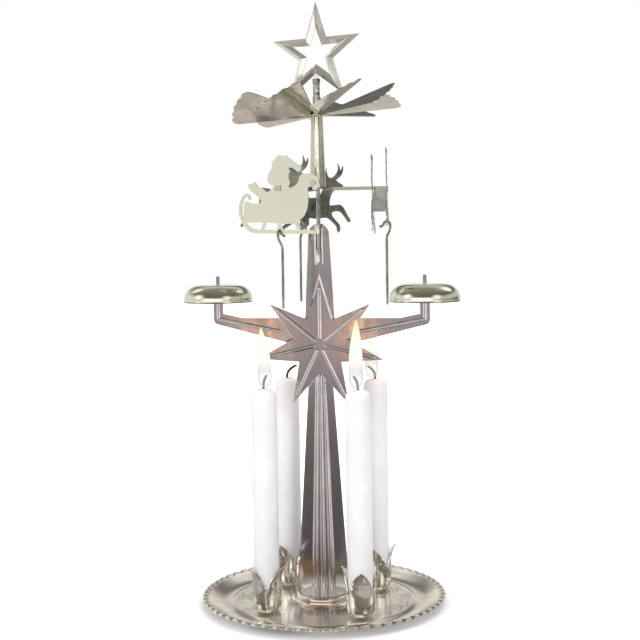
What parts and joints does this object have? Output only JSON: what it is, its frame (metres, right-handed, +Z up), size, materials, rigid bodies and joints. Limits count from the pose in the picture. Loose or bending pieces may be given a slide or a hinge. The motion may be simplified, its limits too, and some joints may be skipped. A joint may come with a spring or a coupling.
{
  "type": "candle carousel",
  "caption": "Candle carousel: stamped pylon with star and bells on a lobed tray, candles in petal cups, and a fan rotor with sleigh, reindeer and hanging strikers.",
  "frame": {"origin": "bottom centre of the tray, on the table", "axes": "+Z up along the axis of the pylon and rotor, X along the arms that carry the bells, the pylon's embossed star faces -Y"},
  "size_m": [0.1412, 0.1228, 0.2999],
  "materials": {
    "tray_plate": "satin bright plating",
    "cup_plate": "bright plating",
    "rivet_metal": "satin",
    "pylon_plate": "bright plating, mirror-like",
    "needle_steel": "drawn steel",
    "bell_plate": "polished plating",
    "wax": "smooth white wax, satin",
    "wick_cord": "burnt cotton cord",
    "rotor_plate": "bright plating",
    "fan_plate": "bright plating",
    "bearing_metal": "turned steel",
    "star_plate": "bright plating",
    "sleigh_plate": "bright plating",
    "deer_plate": "bright plating",
    "striker_wire": "drawn wire"
  },
  "bodies": {
    "stand": {"tray": "tray_plate", "cup_front_right": "cup_plate", "cup_front_left": "cup_plate", "cup_back_right": "cup_plate", "cup_back_left": "cup_plate", "cup_rivets": "rivet_metal", "pylon": "pylon_plate", "needle": "needle_steel"},
    "rotor": {"rotor_tube": "rotor_plate", "arm_spider": "rotor_plate", "fan": "fan_plate", "ferrule": "rotor_plate", "bearing_cup": "bearing_metal", "top_star": "star_plate", "sleigh": "sleigh_plate", "reindeer_pair_right": "deer_plate", "reindeer_pair_rear": "deer_plate"},
    "striker_right_body": {"striker_right": "striker_wire"},
    "striker_rear_body": {"striker_rear": "striker_wire"},
    "striker_sleigh_body": {"striker_sleigh": "striker_wire"},
    "bell_right_body": {"bell_right": "bell_plate"},
    "bell_left_body": {"bell_left": "bell_plate"},
    "candle_front_right_body": {"candle_front_right": "wax", "wick_front_right": "wick_cord"},
    "candle_front_left_body": {"candle_front_left": "wax", "wick_front_left": "wick_cord"},
    "candle_back_right_body": {"candle_back_right": "wax", "wick_back_right": "wick_cord"},
    "candle_back_left_body": {"candle_back_left": "wax", "wick_back_left": "wick_cord"}
  },
  "joints": [
    {"name": "rotor_spin", "type": "hinge", "parent": "stand", "child": "rotor", "pos_m": [0, 0, 0.2508], "axis": [0, 0, 1], "continuous": true},
    {"name": "striker_right_swing", "type": "hinge", "parent": "rotor", "child": "striker_right_body", "pos_m": [0.03488, -0.00247, 0.1914], "axis": [-0.1392, 0.9903, 0], "range_deg": [-0.4, 8]},
    {"name": "striker_rear_swing", "type": "hinge", "parent": "rotor", "child": "striker_rear_body", "pos_m": [-0.0153, 0.03144, 0.1914], "axis": [-0.788, -0.6157, 0], "range_deg": [-0.4, 8]},
    {"name": "striker_sleigh_swing", "type": "hinge", "parent": "rotor", "child": "striker_sleigh_body", "pos_m": [-0.01181, -0.03082, 0.1876], "axis": [0.9272, -0.3746, 0], "range_deg": [-0.4, 8]},
    {"name": "bell_right_spin", "type": "hinge", "parent": "stand", "child": "bell_right_body", "pos_m": [0.053, 0, 0.16], "axis": [0, 0, 1], "continuous": true},
    {"name": "bell_left_spin", "type": "hinge", "parent": "stand", "child": "bell_left_body", "pos_m": [-0.053, 0, 0.16], "axis": [0, 0, 1], "continuous": true},
    {"name": "candle_front_right_slide", "type": "slide", "parent": "stand", "child": "candle_front_right_body", "axis": [0, 0, 1], "range_m": [0, 0.024]},
    {"name": "candle_front_left_slide", "type": "slide", "parent": "stand", "child": "candle_front_left_body", "axis": [0, 0, 1], "range_m": [0, 0.024]},
    {"name": "candle_back_right_slide", "type": "slide", "parent": "stand", "child": "candle_back_right_body", "axis": [0, 0, 1], "range_m": [0, 0.024]},
    {"name": "candle_back_left_slide", "type": "slide", "parent": "stand", "child": "candle_back_left_body", "axis": [0, 0, 1], "range_m": [0, 0.024]}
  ]
}
